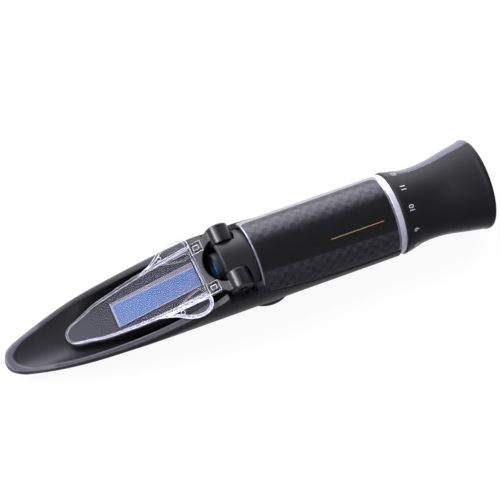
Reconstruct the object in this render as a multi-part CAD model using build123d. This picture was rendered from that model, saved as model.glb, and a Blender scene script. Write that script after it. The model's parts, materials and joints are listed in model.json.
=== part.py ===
from build123d import *
import os
from math import atan2, cos, degrees, radians, sin, tan

# A hand-held salinity refractometer. The model is laid out about the axis of its round
# barrel, +X from the nose tip to the eyecup, and is lifted at the end so that it stands on Z = 0.

# Lengths along the barrel, from the nose tip to the rim of the eyecup
NOSE_LENGTH = 85.8
COLLAR_LENGTH = 11.4
GROOVE_WIDTH = 1.2
SLEEVE_LENGTH = 57.6
END_RING_WIDTH = 2.5
CUP_GAP = 0.15
EYECUP_LENGTH = 37.25

# Radii about the barrel axis, most of them as steps in from the housing
BODY_R = 16.5
NOSE_TIP_STEP = 1.8
SCOOP_WALL = 3.5
BORE_WALL = 3.1
SLEEVE_STEP = 0.5
SLEEVE_WALL = 0.85
COLLAR_STEP = 1.9
COLLAR_WALL = 1.6
GROOVE_DEPTH = 0.65
EYECUP_NECK_STEP = 1.9
FOOT_PROUD = 1.75

NOSE_TIP_R = BODY_R - NOSE_TIP_STEP
SCOOP_R = BODY_R - SCOOP_WALL
BORE_R = BODY_R - BORE_WALL
SLEEVE_R = BODY_R - SLEEVE_STEP
COLLAR_R = BODY_R - COLLAR_STEP
EYECUP_NECK_R = BODY_R - EYECUP_NECK_STEP
AXIS_HEIGHT = BODY_R + FOOT_PROUD

# Clearances: parts that seat in each other, parts that run in each other, parts that slide past
SEAT_GAP = 0.05
RUN_GAP = 0.05
PASS_GAP = 0.1

OVERALL = (NOSE_LENGTH + COLLAR_LENGTH + GROOVE_WIDTH + SLEEVE_LENGTH
           + END_RING_WIDTH + CUP_GAP + EYECUP_LENGTH)
TIP_X = -OVERALL / 2
COLLAR_X = TIP_X + NOSE_LENGTH
GROOVE_X = COLLAR_X + COLLAR_LENGTH
SLEEVE_X = GROOVE_X + GROOVE_WIDTH
RING_X = SLEEVE_X + SLEEVE_LENGTH
RING_END_X = RING_X + END_RING_WIDTH
CUP_X = RING_END_X + CUP_GAP
REAR_X = CUP_X + EYECUP_LENGTH

# Nose: a gutter cut obliquely, with a rounded tip and a flat rim band
RIM_BAND = 3.2
TIP_FLOOR = 3.0
RIM_LIP_DROP = 8.6
RIM_LEAN = 56.0
RIM_LEAN_HEADROOM = 60.0
LIP_GAP = 0.4
ARM_POCKET_DEPTH = 1.3
ARM_POCKET_LENGTH = 8.0
ARM_POCKET_REAR = 1.5
FULL_SHARE = 0.7226
RIM_TIP_Z = TIP_FLOOR - NOSE_TIP_R
RIM_LIP_Z = BODY_R - RIM_LIP_DROP

# Deck under the collar, and the shoulder behind the hinge
DECK_Z = 4.85
SHOULDER_LENGTH = 1.4
SHOULDER_Z = 8.5
CRADLE_END_Z = 0.3
COLLAR_EDGE = 0.6
RING_EDGE = 0.3

# Hinge of the cover
HINGE_SETBACK = 4.2
HINGE_DROP = 6.35
BOSS_R = 4.65
BOSS_SIDE_STEP = 3.05
SADDLE_HALF_WIDTH = 6.1
SADDLE_GAP = 0.2
NOTCH_GAP = 0.65
PIN_R = 1.5
PIN_END_DEPTH = 1.15
CHEEK_THICKNESS = 1.65
CHEEK_HALF_LENGTH = 2.2
CHEEK_STEP = 0.4
HINGE_Z = BODY_R - HINGE_DROP
BOSS_OUTER_Y = BODY_R - BOSS_SIDE_STEP
BOSS_INNER_Y = SADDLE_HALF_WIDTH + SADDLE_GAP
CHEEK_INNER_Y = SADDLE_HALF_WIDTH - CHEEK_THICKNESS
PIN_OUTER_Y = BOSS_OUTER_Y - PIN_END_DEPTH

# Cover plate, in its own plane: distances forward of the hinge axis, and heights above it
SLOPE_SHARE = 0.63
TIP_CLEARANCE = 17.5
COVER_REAR = 11.7
COVER_TOP = 3.9
COVER_RIM_RISE = 0.5
COVER_THICKNESS = 1.2
COVER_RIM_WIDTH = 1.3
EAR_TOP_DROP = 0.6
EAR_THICKNESS = 1.2
EAR_ROOT_SETBACK = 9.8
EAR_ROOT_DEPTH = 3.9
EAR_LENGTH = 20.0
EAR_WIDTH = 9.72
EAR_RECESS = 0.45
EAR_RECESS_SCALE = 0.87
CLIP_LENGTH = 4.45
CLIP_WIDTH = 4.0
CLIP_SIDE_STEP = 2.55
CLIP_BOTTOM = 1.9
WINDOW_MARGIN = 1.05
COVER_SLOPE = degrees(atan2(RIM_LIP_Z - RIM_TIP_Z, SLOPE_SHARE * NOSE_LENGTH))
COVER_TIP = NOSE_LENGTH - TIP_CLEARANCE
CLIP_REAR = COVER_REAR - CLIP_LENGTH
CLIP_OUTER_Y = BOSS_OUTER_Y - CLIP_SIDE_STEP
CLIP_INNER_Y = CLIP_OUTER_Y - CLIP_WIDTH

# Yoke that carries the cover plate on the hinge
YOKE_WEB = 1.95
YOKE_BASE_BOTTOM = -0.4
YOKE_TOP = 3.3
YOKE_SIDE_STEP = 0.2
YOKE_SHOULDER_STEP = 0.6
TONGUE_THICKNESS = 1.0

# Prism and the bed that holds it
PRISM_SETBACK = 12.1
PRISM_LENGTH = 34.2
PRISM_HALF_WIDTH = 5.5
PRISM_FRONT_HEIGHT = 1.0
PRISM_EDGE = 0.2
SAMPLE_GAP = 0.15
GASKET = 0.3
GASKET_DEPTH = 1.0
BED_INSET = 0.3
BED_FLARE = 2.4
BED_DEPTH = 24.0

# Calibration dial under the barrel
DIAL_SETBACK = 7.4
FOOT_R = 12.0
FOOT_BAND = 2.4
FOOT_THICKNESS = 1.1
FOOT_EDGE = 0.3
BOSS_STEP = 0.3
DIAL_GAP = 0.3
DIAL_RECESS = 0.3
DIAL_THICKNESS = 2.1
POCKET_DEPTH = 1.5
STEM_R = 1.5
STEM_SEAT = 0.6
COIN_SLOT_WIDTH = 1.6
COIN_SLOT_DEPTH = 0.9
COIN_SLOT_MARGIN = 2.5
SEAL_SECTION_R = 0.5
SEAL_POCKET_R = 2.9
SEAL_POCKET_DEPTH = 1.05
CLIP_RING_R = 2.8
CLIP_RING_THICKNESS = 0.6
CLIP_RING_GAP = 0.7
CLIP_GRIP = 0.4
STEM_SEAL_GAP = 0.15
FOOT_INNER_R = FOOT_R - FOOT_BAND
DIAL_R = FOOT_INNER_R - DIAL_GAP

# Objective lens and its carrier
OBJECTIVE_DROP = 3.15
OBJECTIVE_LEAD = 2.1
OBJECTIVE_LENS_R = 4.2
OBJECTIVE_BULGE = 0.6
OBJECTIVE_WALL = 1.2
OBJECTIVE_BARREL_LENGTH = 3.7
OBJECTIVE_SHOULDER = 2.6
OBJECTIVE_EDGE = 1.5
OBJECTIVE_NECK_GAP = 0.35
OBJECTIVE_LEDGE = 0.7
OBJECTIVE_CHAMFER = 0.3
OBJECTIVE_RING = 0.3
CARRIER_X = 7.6
CARRIER_PLATE = 2.5
CARRIER_HALF_WIDTH = 4.8
ARM_HALF_WIDTH = 4.0
ARM_CLEARANCE = 2.4
ARM_THICKNESS = 3.0
ARM_OVERHANG = 4.6
LIFT_GAP = 0.6
OBJECTIVE_Z = HINGE_Z - OBJECTIVE_DROP
OBJECTIVE_BARREL_R = OBJECTIVE_LENS_R + OBJECTIVE_WALL
OBJECTIVE_NECK_R = CHEEK_INNER_Y - OBJECTIVE_NECK_GAP
OBJECTIVE_BORE_R = OBJECTIVE_LENS_R - OBJECTIVE_LEDGE
ARM_BOTTOM_Z = ARM_CLEARANCE - BORE_R
ARM_TOP_Z = ARM_BOTTOM_Z + ARM_THICKNESS

# Eyepiece, from the end ring rearwards
GUIDE_STEP = 1.2
GUIDE_WALL = 1.2
GUIDE_END_GAP = 2.2
CELL_WALL = 1.25
CELL_LENGTH = 14.9
CELL_START = 1.4
CELL_LIP = 1.0
CELL_LIP_DEPTH = 0.9
LENS_EDGE = 1.6
FIELD_BULGE = 1.4
EYE_BULGE_FRONT = 1.2
EYE_BULGE_REAR = 0.9
EYE_LENS_SETBACK = 3.2
SPACER_WALL = 0.8
RETAINER_WALL = 0.9
RETAINER_END = 0.3
NOTCH_WIDTH = 1.2
NOTCH_DEPTH = 0.6
DOME_GAP = 0.25
FOCUS_TRAVEL = 2.1
FOCUS_WALL = 1.15
FOCUS_LENGTH = 18.6
GUIDE_PIN_R = 1.0
GUIDE_PIN_SEAT = 0.6
GUIDE_PIN_PLACE = 6.9
RELIEF_END = 0.3
CUP_WEB = 1.8
CUP_HOLE_STEP = 1.15
CUP_SEAT_STEP = 1.05
CUP_MOUTH_STEP = 1.65
CUP_EDGE = 0.3
LIP_BAND = 4.6
LIP_DROP = 0.75
CUP_RIM_ROUND = 1.2
CUP_RIM_THICKNESS = 1.8
PIN_TOP_GAP = 0.15
GUIDE_FLANGE = 4.0
ORING_R = 0.45
ORING_PLACE = 1.9
GUIDE_R = BORE_R - GUIDE_STEP
GUIDE_BORE_R = GUIDE_R - GUIDE_WALL
CUP_HOLE_R = GUIDE_BORE_R - CUP_HOLE_STEP - SEAT_GAP
CUP_SEAT_R = GUIDE_BORE_R + CUP_SEAT_STEP - SEAT_GAP
CUP_MOUTH_R = AXIS_HEIGHT - CUP_MOUTH_STEP

# Barrel's inside: liner, baffles, scale glass, and the label on the outside
BULKHEAD_GAP = 0.5
BULKHEAD_THICKNESS = 1.6
LIGHT_HOLE_R = 5.2
LIGHT_HOLE_DROP = 1.8
LINER_SETBACK = 14.0
LINER_WALL = 0.9
LINER_END_GAP = 1.6
BAFFLE_THICKNESS = 1.0
FIRST_BAFFLE = 2.0
FIRST_BAFFLE_RING = 5.0
SECOND_BAFFLE = 13.0
SECOND_BAFFLE_RING = 4.5
RETICLE_SETBACK = 9.0
RETICLE_WALL = 3.5
RETICLE_LEDGE = 1.0
RETICLE_SEAT = 1.5
RETICLE_THICKNESS = 1.5
RETICLE_HOLDER_LENGTH = 5.0
RETICLE_RETAINER = 1.2
LABEL_THICKNESS = 0.12
LABEL_MARGIN = 1.2
LABEL_EDGE_GAP = 0.5
LABEL_FAR_ANGLE = 44.0
LINER_BORE_R = BORE_R - LINER_WALL
RETICLE_R = LINER_BORE_R - RETICLE_WALL

# Screws through the bottom of the housing
SCREW_R = 1.0
SCREW_LENGTH = 6.0
SCREW_HEAD = 0.9
SCREW_SINK = 0.15
SCREW_SLOT_WIDTH = 0.5
BED_SCREW_SETBACK = 25.6

MIN = Align.MIN
MID = Align.CENTER
MAX = Align.MAX


def rod(x, length, radius, z=0.0):
    """Round bar along X."""
    bar = Cylinder(radius, length, align=(MID, MID, MIN))
    return Pos(x, 0, z) * Rot(0, 90, 0) * bar


def tube(x, length, outer, inner, z=0.0):
    """Round tube along X."""
    return rod(x, length, outer, z) - rod(x - 1, length + 2, inner, z)


def turned(*curves):
    """Solid of revolution about the barrel axis, from an outline in the XZ plane."""
    outline = make_face([Plane.XZ * curve for curve in curves])
    return revolve(outline, Axis.X)


def slab(x0, x1, half_width, z0, z1):
    """Box centred on the plane of symmetry."""
    box = Box(x1 - x0, 2 * half_width, z1 - z0, align=(MIN, MID, MIN))
    return Pos(x0, 0, z0) * box


def cross_rod(x, z, radius, y0, y1):
    """Round bar along Y."""
    bar = Cylinder(radius, y1 - y0, align=(MID, MID, MIN))
    return Pos(x, y0, z) * Rot(-90, 0, 0) * bar


def both_sides(shape):
    """The shape and its mirror image across the plane of symmetry."""
    return shape + mirror(shape, Plane.XZ)


def lens(x, radius, edge, bulge_front, bulge_rear, z=0.0):
    """Lens with an edge cylinder and two domed or flat faces, its edge starting at x."""
    front, rear = (x - bulge_front, 0), (x + edge + bulge_rear, 0)
    front_rim, rear_rim = (x, radius), (x + edge, radius)
    faces = []
    for apex, rim in ((front, front_rim), (rear, rear_rim)):
        domed = apex[0] != rim[0]
        faces.append(TangentArc(apex, rim, tangent=(0, 1)) if domed else Line(apex, rim))
    return Pos(0, 0, z) * turned(faces[0], Line(front_rim, rear_rim), faces[1], Line(rear, front))


def side_cut(points_and_curves):
    """Solid that runs across the whole width under an outline in the XZ plane."""
    face = make_face([Plane.XZ * curve for curve in points_and_curves])
    return extrude(face, 2 * BODY_R, both=True)


# Places that several parts share
hinge_x = COLLAR_X + HINGE_SETBACK
dial_x = SLEEVE_X + DIAL_SETBACK
notch_r = BOSS_R + NOTCH_GAP
lip_x = hinge_x - notch_r - LIP_GAP
shoulder_x = GROOVE_X - SHOULDER_LENGTH
seat_r = SLEEVE_R - SLEEVE_WALL - SEAT_GAP
cover_place = Pos(hinge_x, 0, HINGE_Z) * Rot(0, -COVER_SLOPE, 0)
plate_top = COVER_TOP - COVER_RIM_RISE
plate_bottom = plate_top - COVER_THICKNESS
bed_top = plate_bottom - SAMPLE_GAP
prism_end_x = hinge_x - PRISM_SETBACK
prism_x = prism_end_x - PRISM_LENGTH
prism_top_z = HINGE_Z + (plate_bottom - SEAT_GAP) / cos(radians(COVER_SLOPE))
prism_base_z = prism_top_z - (hinge_x - prism_x) * tan(radians(COVER_SLOPE)) - PRISM_FRONT_HEIGHT
objective_x = COLLAR_X - OBJECTIVE_LEAD
liner_x = SLEEVE_X + LINER_SETBACK
liner_end_x = RING_X - GUIDE_FLANGE - LINER_END_GAP
reticle_x = liner_end_x - RETICLE_SETBACK
case_screw_xs = (hinge_x - BED_SCREW_SETBACK, reticle_x + RETICLE_SEAT / 2)
foot_top = FOOT_THICKNESS - AXIS_HEIGHT
seal_z = foot_top + POCKET_DEPTH + SEAL_POCKET_DEPTH - SEAL_SECTION_R
cell_r = GUIDE_BORE_R - RUN_GAP
cell_x = RING_END_X + CELL_START
lens_r = cell_r - CELL_WALL - SEAT_GAP
eye_lens_x = cell_x + CELL_LENGTH - EYE_LENS_SETBACK
field_lens_x = cell_x + CELL_LIP + SEAT_GAP
pin_x = cell_x + GUIDE_PIN_PLACE
oring_x = RING_END_X + ORING_PLACE
oring_ring_r = GUIDE_R - ORING_R
sleeve_out_r = GUIDE_R + RUN_GAP + FOCUS_WALL


def nose_plan(tip, side):
    """Solid that trims the nose to a rounded outline seen from above; shares of its length and width."""
    points = [(TIP_X + tip, 0)]
    points += [(TIP_X + along * NOSE_LENGTH, out * BODY_R) for along, out in side]
    edge = Spline(*points, tangents=[(0, 1), (1, 0.05)])
    end = points[-1]
    back = Polyline(end, (end[0], BODY_R + 1), (RING_X + 1, BODY_R + 1),
                    (RING_X + 1, -BODY_R - 1), (end[0], -BODY_R - 1), (end[0], -end[1]))
    return extrude(make_face([edge, mirror(edge, Plane.XZ), back]), 2 * BODY_R, both=True)


def rim_lean(rim, side):
    """Solid that leans the outside of the nose in under its rim, on one side of the instrument."""
    corner = [0.46, 0.652, 0.782, 0.864, 0.906, 0.915]
    fall = tan(radians(RIM_LEAN))
    over = [(x, z + share * BODY_R * fall) for (x, z), share in zip(rim, corner)]
    start = (TIP_X - 1, RIM_TIP_Z + RIM_BAND * fall)
    end = (lip_x, RIM_LIP_Z + corner[-1] * BODY_R * fall)
    top, below = RIM_LEAN_HEADROOM, -RIM_LEAN_HEADROOM
    face = make_face([Plane.XZ * curve for curve in (
        Spline(start, *over, end),
        Polyline(end, (lip_x, top), (RING_X + 1, top), (RING_X + 1, below), (TIP_X - 1, below), start))])
    way = (0, side * cos(radians(RIM_LEAN)), -sin(radians(RIM_LEAN)))
    return extrude(face, 2 * BODY_R / cos(radians(RIM_LEAN)), dir=way, both=True)


def cradle_edge():
    """Upper edge of the cradle that wraps the sleeve, from its front corner to the end ring."""
    heights = [(0.042, 0.576), (0.122, 0.412), (0.434, 0.106), (0.712, 0.0)]
    middle = [(SLEEVE_X + along * SLEEVE_LENGTH, up * SHOULDER_Z) for along, up in heights]
    return Spline((SLEEVE_X, SHOULDER_Z), *middle, (RING_X, CRADLE_END_Z))


def body_shell():
    """Moulded housing: scoop-shaped nose, deck, cradle and the tube inside the sleeve."""
    full_x = TIP_X + FULL_SHARE * NOSE_LENGTH
    swell = [(0.18, 0.28), (0.46, 0.72)]
    hull = turned(
        Line((TIP_X, 0), (TIP_X, NOSE_TIP_R)),
        Spline(
            (TIP_X, NOSE_TIP_R),
            *[(TIP_X + along * NOSE_LENGTH, NOSE_TIP_R + out * NOSE_TIP_STEP) for along, out in swell],
            (full_x, BODY_R),
            tangents=[(1, 0.02), (1, 0)],
        ),
        Line((full_x, BODY_R), (RING_X, BODY_R)),
        Line((RING_X, BODY_R), (RING_X, 0)),
        Line((RING_X, 0), (TIP_X, 0)),
    )
    hull &= nose_plan(0.0, [(0.028, 0.297), (0.11, 0.533), (0.18, 0.655), (0.25, 0.745),
                            (0.39, 0.873), (0.53, 0.958), (0.7, 1.03)])
    climb = [(0.11, 0.015), (0.25, 0.148), (0.39, 0.296), (0.53, 0.413), (0.745, 0.658), (0.892, 0.857)]
    rise = RIM_LIP_Z - RIM_TIP_Z
    rim = [(TIP_X + along * NOSE_LENGTH, RIM_TIP_Z + up * rise) for along, up in climb]
    front, below = TIP_X - 1, -2 * BODY_R
    hull &= side_cut([
        Spline((front, RIM_TIP_Z), *rim, (lip_x, RIM_LIP_Z)),
        Line((lip_x, RIM_LIP_Z), (lip_x, DECK_Z)),
        Line((lip_x, DECK_Z), (shoulder_x, DECK_Z)),
        Line((shoulder_x, DECK_Z), (shoulder_x, SHOULDER_Z)),
        Line((shoulder_x, SHOULDER_Z), (SLEEVE_X, SHOULDER_Z)),
        cradle_edge(),
        Line((RING_X, CRADLE_END_Z), (RING_X, below)),
        Line((RING_X, below), (front, below)),
        Line((front, below), (front, RIM_TIP_Z)),
    ])
    hull &= rim_lean(rim, 1) & rim_lean(rim, -1)
    hull += rod(SLEEVE_X, SLEEVE_LENGTH, seat_r)
    boss = Cylinder(FOOT_R - BOSS_STEP, -BORE_R - foot_top, align=(MID, MID, MIN))
    hull += Pos(dial_x, 0, foot_top) * boss

    inner_tip = TIP_X + RIM_BAND
    scoop = rod(inner_tip, GROOVE_X - inner_tip, SCOOP_R)
    hull -= scoop & nose_plan(RIM_BAND, [(0.061, 0.218), (0.11, 0.376), (0.18, 0.521), (0.35, 1.0)])
    hull -= rod(lip_x - ARM_POCKET_LENGTH + ARM_POCKET_REAR, ARM_POCKET_LENGTH,
                SCOOP_R + ARM_POCKET_DEPTH)
    hull -= rod(COLLAR_X, RING_X - COLLAR_X + 1, BORE_R)
    collar_seat = rod(shoulder_x - 1, SLEEVE_X - shoulder_x + 1, COLLAR_R + SEAT_GAP)
    hull -= collar_seat & slab(shoulder_x - 1, SLEEVE_X, BODY_R, DECK_Z, BODY_R)
    for x in case_screw_xs:
        hull -= screw(x, 0.0)

    for radius, top in ((FOOT_INNER_R, foot_top + POCKET_DEPTH),
                        (SEAL_POCKET_R, foot_top + POCKET_DEPTH + SEAL_POCKET_DEPTH),
                        (STEM_R + RUN_GAP, 0.0)):
        pocket = Cylinder(radius, top + AXIS_HEIGHT, align=(MID, MID, MIN))
        hull -= Pos(dial_x, 0, -AXIS_HEIGHT) * pocket
    return hull


def front_collar():
    """Bridge over the front of the barrel: a saddle between the hinge bosses and a ring behind."""
    collar = rod(COLLAR_X, COLLAR_LENGTH, COLLAR_R)
    collar = chamfer(collar.edges().filter_by(GeomType.CIRCLE).sort_by(Axis.X)[0], COLLAR_EDGE)
    collar += rod(GROOVE_X, GROOVE_WIDTH - SEAT_GAP, COLLAR_R - GROOVE_DEPTH)
    collar -= rod(COLLAR_X - 1, COLLAR_LENGTH + GROOVE_WIDTH + 2, COLLAR_R - COLLAR_WALL)
    collar &= slab(COLLAR_X - 1, SLEEVE_X, COLLAR_R, DECK_Z, COLLAR_R)
    cheeks = slab(hinge_x - CHEEK_HALF_LENGTH, hinge_x + CHEEK_HALF_LENGTH,
                  SADDLE_HALF_WIDTH, OBJECTIVE_Z, COLLAR_R)
    cheeks -= slab(COLLAR_X, GROOVE_X, CHEEK_INNER_Y, 0, COLLAR_R + 1)
    collar += cheeks & rod(COLLAR_X, COLLAR_LENGTH, COLLAR_R - CHEEK_STEP)
    side = Box(hinge_x - COLLAR_X + 1, COLLAR_R, COLLAR_R, align=(Align.MAX, MIN, MIN))
    notch = Pos(hinge_x, SADDLE_HALF_WIDTH, DECK_Z - 1) * side
    notch += cross_rod(hinge_x, HINGE_Z, notch_r, SADDLE_HALF_WIDTH, COLLAR_R)
    low = Box(notch_r, COLLAR_R, HINGE_Z - DECK_Z + 1, align=(MIN, MIN, MIN))
    notch += Pos(hinge_x, SADDLE_HALF_WIDTH, DECK_Z - 1) * low
    collar -= both_sides(notch)
    collar -= cross_rod(hinge_x, HINGE_Z, PIN_R, -COLLAR_R, COLLAR_R)
    return collar


def hinge_pins():
    """Two short pins held in the saddle's cheeks."""
    return both_sides(cross_rod(hinge_x, HINGE_Z, PIN_R, CHEEK_INNER_Y, PIN_OUTER_Y))


def bulkhead():
    """Disc behind the hinge with a light hole and a slot that guides the carrier's arm."""
    start = SLEEVE_X + BULKHEAD_GAP
    disc = rod(start, BULKHEAD_THICKNESS, BORE_R - SEAT_GAP)
    disc -= rod(SLEEVE_X, BULKHEAD_GAP + BULKHEAD_THICKNESS + 1, LIGHT_HOLE_R,
                OBJECTIVE_Z - LIGHT_HOLE_DROP)
    return disc - slab(SLEEVE_X, start + BULKHEAD_THICKNESS + 1, ARM_HALF_WIDTH + PASS_GAP,
                       ARM_BOTTOM_Z - LIFT_GAP, ARM_TOP_Z + LIFT_GAP)


def above_cradle(gap):
    """Solid that keeps what lies over the edge of the cradle, a gap away from it."""
    above = 2 * BODY_R
    return side_cut([
        Pos(0, gap) * cradle_edge(),
        Line((SLEEVE_X, SHOULDER_Z + gap), (SLEEVE_X, above)),
        Line((SLEEVE_X, above), (RING_X, above)),
        Line((RING_X, above), (RING_X, CRADLE_END_Z + gap)),
    ])


def barrel_sleeve():
    """Thin aluminium shell over the top of the barrel, down to the edge of the cradle."""
    shell = tube(SLEEVE_X, SLEEVE_LENGTH, SLEEVE_R, SLEEVE_R - SLEEVE_WALL)
    return shell & above_cradle(PASS_GAP)


def barrel_label():
    """Printed foil wrapped over the near side and the top of the sleeve."""
    foil = tube(SLEEVE_X + LABEL_MARGIN, SLEEVE_LENGTH - 2 * LABEL_MARGIN,
                SLEEVE_R + LABEL_THICKNESS, SLEEVE_R)
    foil &= above_cradle(LABEL_EDGE_GAP)
    far_side = Box(OVERALL, BODY_R, BODY_R, align=(MID, MIN, MID))
    edge_y = SLEEVE_R * cos(radians(LABEL_FAR_ANGLE))
    foil -= Pos(0, edge_y, 0) * far_side
    return foil


def end_ring():
    """Bright ring between the barrel and the eyecup."""
    ring = tube(RING_X, END_RING_WIDTH, SLEEVE_R, GUIDE_R)
    outer = ring.edges().filter_by(GeomType.CIRCLE).sort_by(SortBy.RADIUS)[-2:]
    return fillet(outer, RING_EDGE)


def prism_bed():
    """Island that rises from the scoop and carries the prism under the cover plate."""
    top = cover_outline(BED_INSET)
    base = cover_outline(-BED_FLARE)
    bed = loft([Pos(0, 0, bed_top) * top, Pos(0, 0, bed_top - BED_DEPTH) * base])
    bed = cover_place * bed
    bed &= rod(TIP_X, prism_end_x - TIP_X, SCOOP_R - SEAT_GAP)
    bed -= slab(prism_x - GASKET, prism_end_x + 1, PRISM_HALF_WIDTH + GASKET,
                prism_base_z - SEAT_GAP, BODY_R)
    bed -= screw(case_screw_xs[0], 0.0)
    return bed


def prism():
    """Glass wedge: its top lies along the cover plate, its base along the barrel."""
    wedge = slab(prism_x, prism_end_x, PRISM_HALF_WIDTH, prism_base_z, BODY_R)
    over = Box(4 * COVER_TIP, 4 * BODY_R, 4 * BODY_R, align=(MID, MID, MIN))
    wedge -= cover_place * Pos(0, 0, plate_bottom - SEAT_GAP) * over
    return chamfer(wedge.edges().sort_by(Axis.Z)[-1:], PRISM_EDGE)


def prism_gasket():
    """Thin sealing frame between the prism and its bed, just under the top of the glass."""
    frame = slab(prism_x - GASKET, prism_end_x, PRISM_HALF_WIDTH + GASKET, prism_base_z, BODY_R)
    frame -= slab(prism_x, prism_end_x + 1, PRISM_HALF_WIDTH, prism_base_z - 1, BODY_R + 1)
    layer = Box(4 * COVER_TIP, 4 * BODY_R, GASKET_DEPTH, align=(MID, MID, MAX))
    return frame & (cover_place * Pos(0, 0, bed_top) * layer)


def cover_outline(inset=0.0):
    """Outline of the cover plate in its own plane, drawn in by an inset."""
    tip = (-COVER_TIP + inset, 0)
    side = [(0.859, 0.541), (0.672, 0.78), (0.392, 0.95)]
    points = [tip] + [(-along * COVER_TIP, out * CLIP_OUTER_Y - inset) for along, out in side]
    corner = (-COVER_REAR, CLIP_OUTER_Y - inset)
    upper = Spline(*points, corner, tangents=[(0, 1), (1, 0.02)])
    return make_face([upper, mirror(upper, Plane.XZ), Line(corner, (corner[0], -corner[1]))])


def ear_outline(scale=1.0):
    """Rounded ear on one side of the plate, scaled about the middle of its root."""
    root_x, root_y = -COVER_REAR - EAR_ROOT_SETBACK, CLIP_OUTER_Y - EAR_ROOT_DEPTH
    side = [(-0.5, 0.206), (-0.24, 0.586), (-0.045, 0.875), (0.19, 1.0), (0.395, 0.885), (0.495, 0.566)]
    points = [(root_x + scale * along * EAR_LENGTH, root_y + scale * out * EAR_WIDTH)
              for along, out in side]
    foot = Polyline(points[-1], (points[-1][0], root_y), (points[0][0], root_y), points[0])
    return make_face([Spline(*points), foot])


def cover_plate():
    """Clear plate with a raised rim, two finger ears and two clip blocks at its rear corners."""
    plate = extrude(Pos(0, 0, plate_bottom) * cover_outline(), COVER_TOP - plate_bottom)
    inner = cover_outline(COVER_RIM_WIDTH)
    plate -= extrude(Pos(0, 0, plate_top) * inner, COVER_RIM_RISE + 1)
    ear_top = COVER_TOP - EAR_TOP_DROP
    ear = extrude(Pos(0, 0, ear_top - EAR_THICKNESS) * ear_outline(), EAR_THICKNESS)
    ear -= extrude(Pos(0, 0, ear_top - EAR_RECESS) * ear_outline(EAR_RECESS_SCALE), 1)
    ear -= extrude(Pos(0, 0, plate_bottom - 2) * cover_outline(PASS_GAP), 2 * COVER_TOP)
    plate += both_sides(ear)
    block = Box(CLIP_LENGTH, CLIP_WIDTH, COVER_TOP - CLIP_BOTTOM, align=(MAX, MIN, MIN))
    block = Pos(-CLIP_REAR, CLIP_INNER_Y, CLIP_BOTTOM) * block
    window_width = CLIP_WIDTH - 2 * WINDOW_MARGIN
    window = Box(CLIP_LENGTH - 2 * WINDOW_MARGIN, window_width, 2 * COVER_TOP, align=(MAX, MIN, MIN))
    window = Pos(-CLIP_REAR - WINDOW_MARGIN, CLIP_INNER_Y + WINDOW_MARGIN, 0) * window
    mouth = Box(CLIP_LENGTH, window_width, TONGUE_THICKNESS + 2 * SEAT_GAP, align=(MAX, MIN, MIN))
    mouth = Pos(-CLIP_REAR + WINDOW_MARGIN, CLIP_INNER_Y + WINDOW_MARGIN, CLIP_BOTTOM) * mouth
    plate += both_sides(block - window - mouth)
    return cover_place * plate


def cover_yoke():
    """Stirrup that hangs the plate on the hinge: a web, two arms, two bosses, two tongues."""
    front = -COVER_REAR + SEAT_GAP
    side_y, shoulder_y = CLIP_OUTER_Y - YOKE_SIDE_STEP, BOSS_OUTER_Y - YOKE_SHOULDER_STEP
    outer = Polyline(
        (front, 0), (front, side_y), (-CLIP_REAR, side_y), (-BOSS_R, shoulder_y), (0, shoulder_y), (0, 0),
        close=True,
    )
    base = extrude(Pos(0, 0, YOKE_BASE_BOTTOM) * make_face(outer),
                   CLIP_BOTTOM - SEAT_GAP - YOKE_BASE_BOTTOM)
    inner_y = CLIP_INNER_Y - SEAT_GAP
    web = Pos(front, 0, 0) * Box(-front, inner_y, YOKE_TOP, align=(MIN, MIN, MIN))
    arm_front = -CLIP_REAR + SEAT_GAP
    arm = Polyline(
        (arm_front, inner_y), (arm_front, side_y), (-BOSS_R, shoulder_y), (0, shoulder_y), (0, inner_y),
        close=True,
    )
    half = base + web + extrude(make_face(arm), YOKE_TOP)
    tongue_width = CLIP_WIDTH - 2 * WINDOW_MARGIN - 2 * SEAT_GAP
    tongue = Box(CLIP_LENGTH, tongue_width, TONGUE_THICKNESS, align=(MAX, MIN, MIN))
    tongue_y = CLIP_INNER_Y + WINDOW_MARGIN + SEAT_GAP
    half += Pos(-CLIP_REAR + WINDOW_MARGIN, tongue_y, CLIP_BOTTOM) * tongue
    half -= Cylinder(-front - YOKE_WEB, 4 * YOKE_TOP)
    half += cross_rod(0, 0, BOSS_R, BOSS_INNER_Y, BOSS_OUTER_Y)
    half -= cross_rod(0, 0, PIN_R + RUN_GAP, BOSS_INNER_Y - 1, BOSS_OUTER_Y + 1)
    return cover_place * both_sides(half)


def screw(x, play=SEAT_GAP):
    """Countersunk screw driven upwards through the bottom of the housing."""
    head = Cone(SCREW_R + SCREW_HEAD - play, SCREW_R - play, SCREW_HEAD, align=(MID, MID, MIN))
    shank = Cylinder(SCREW_R - play, SCREW_LENGTH, align=(MID, MID, MIN))
    return Pos(x, 0, -BODY_R + SCREW_SINK) * (head + shank)


def case_screws():
    """Two screws that hold the prism bed and the liner in the housing."""
    slot = Box(2 * SCREW_R, SCREW_SLOT_WIDTH, SCREW_HEAD)
    return [screw(x) - Pos(x, 0, -BODY_R) * slot for x in case_screw_xs]


def liner_tube():
    """Blackened tube in the barrel that holds the baffles and the reticle."""
    liner = tube(liner_x, liner_end_x - liner_x, BORE_R - SEAT_GAP, LINER_BORE_R)
    return liner - screw(case_screw_xs[1], 0.0)


def baffle_rings():
    """Light stops seated in the liner."""
    stops = ((FIRST_BAFFLE, FIRST_BAFFLE_RING), (SECOND_BAFFLE, SECOND_BAFFLE_RING))
    return [tube(liner_x + along, BAFFLE_THICKNESS, LINER_BORE_R - SEAT_GAP, LINER_BORE_R - width)
            for along, width in stops]


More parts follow.
